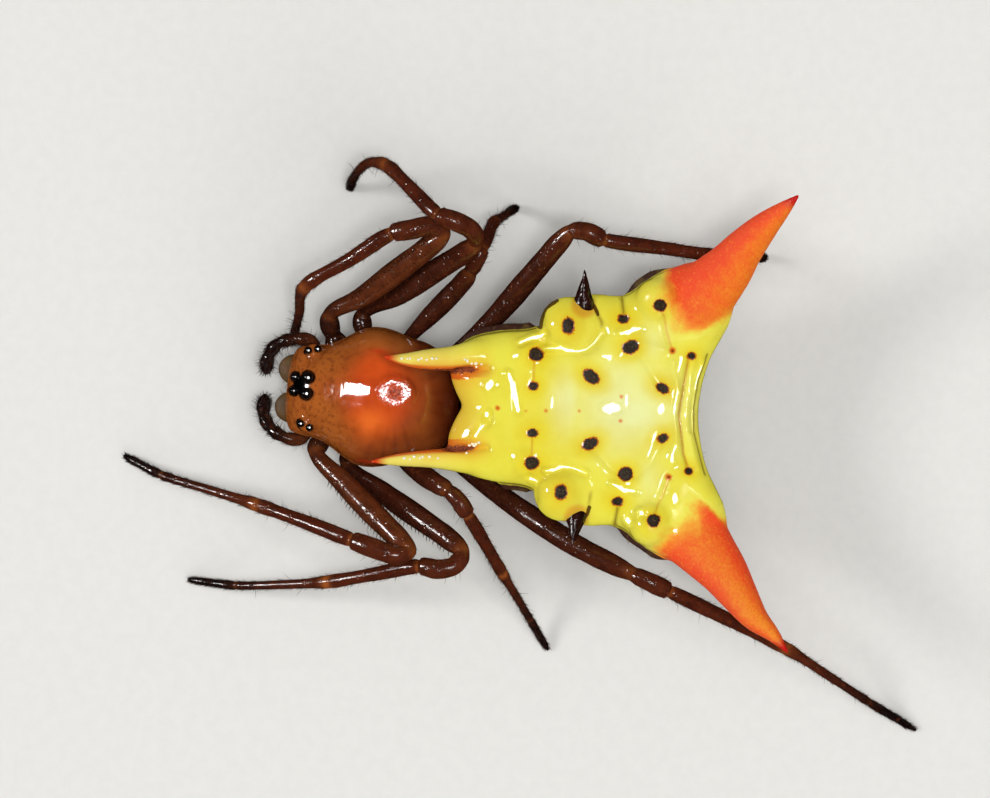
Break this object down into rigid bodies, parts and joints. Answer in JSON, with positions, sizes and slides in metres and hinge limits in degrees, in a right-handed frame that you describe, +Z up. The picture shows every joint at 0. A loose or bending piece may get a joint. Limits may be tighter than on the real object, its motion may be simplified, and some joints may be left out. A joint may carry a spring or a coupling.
{
  "type": "spiny orb weaver spider",
  "caption": "Still life-size model of a spiny orb weaver standing on spread legs, with a domed carapace and a flat yellow abdomen that ends in long red-tipped spines.",
  "frame": {"origin": "on the ground under the middle of the animal's bounding box", "axes": "+Z up from the ground, -Y the way the head faces, +X to the animal's left"},
  "size_m": [0.0117, 0.016, 0.0045],
  "materials": {
    "carapace_shell": "glossy red-brown chitin, darker at the rear, finely mottled on the head",
    "abdomen_skin": "wet-looking lemon yellow skin with dark pits and orange-red spines",
    "leg_shell": "dark mahogany chitin with fine bristles",
    "underside_skin": "satin dark brown",
    "chelicera_shell": "glossy olive-brown chitin",
    "eye_lens": "mirror-glossy black"
  },
  "bodies": {
    "root": {"abdomen": "abdomen_skin", "carapace": "carapace_shell", "chelicera_left": "chelicera_shell", "chelicera_right": "chelicera_shell", "eye_front_middle_left": "eye_lens", "eye_front_middle_right": "eye_lens", "eye_front_side_left": "eye_lens", "eye_front_side_right": "eye_lens", "eye_rear_middle_left": "eye_lens", "eye_rear_middle_right": "eye_lens", "eye_rear_side_left": "eye_lens", "eye_rear_side_right": "eye_lens", "leg_left_1_coxa": "leg_shell", "leg_left_1_femur": "leg_shell", "leg_left_1_tarsus": "leg_shell", "leg_left_1_tibia": "leg_shell", "leg_left_2_coxa": "leg_shell", "leg_left_2_femur": "leg_shell", "leg_left_2_tarsus": "leg_shell", "leg_left_2_tibia": "leg_shell", "leg_left_3_coxa": "leg_shell", "leg_left_3_femur": "leg_shell", "leg_left_3_tarsus": "leg_shell", "leg_left_3_tibia": "leg_shell", "leg_left_4_coxa": "leg_shell", "leg_left_4_femur": "leg_shell", "leg_left_4_tarsus": "leg_shell", "leg_left_4_tibia": "leg_shell", "leg_right_1_coxa": "leg_shell", "leg_right_1_femur": "leg_shell", "leg_right_1_tarsus": "leg_shell", "leg_right_1_tibia": "leg_shell", "leg_right_2_coxa": "leg_shell", "leg_right_2_femur": "leg_shell", "leg_right_2_tarsus": "leg_shell", "leg_right_2_tibia": "leg_shell", "leg_right_3_coxa": "leg_shell", "leg_right_3_femur": "leg_shell", "leg_right_3_tarsus": "leg_shell", "leg_right_3_tibia": "leg_shell", "leg_right_4_coxa": "leg_shell", "leg_right_4_femur": "leg_shell", "leg_right_4_tarsus": "leg_shell", "leg_right_4_tibia": "leg_shell", "mouthparts": "underside_skin", "palp_left_arm": "leg_shell", "palp_left_root": "leg_shell", "palp_right_arm": "leg_shell", "palp_right_root": "leg_shell", "pedicel": "underside_skin", "spinnerets": "underside_skin", "sternum": "underside_skin"}
  },
  "joints": []
}
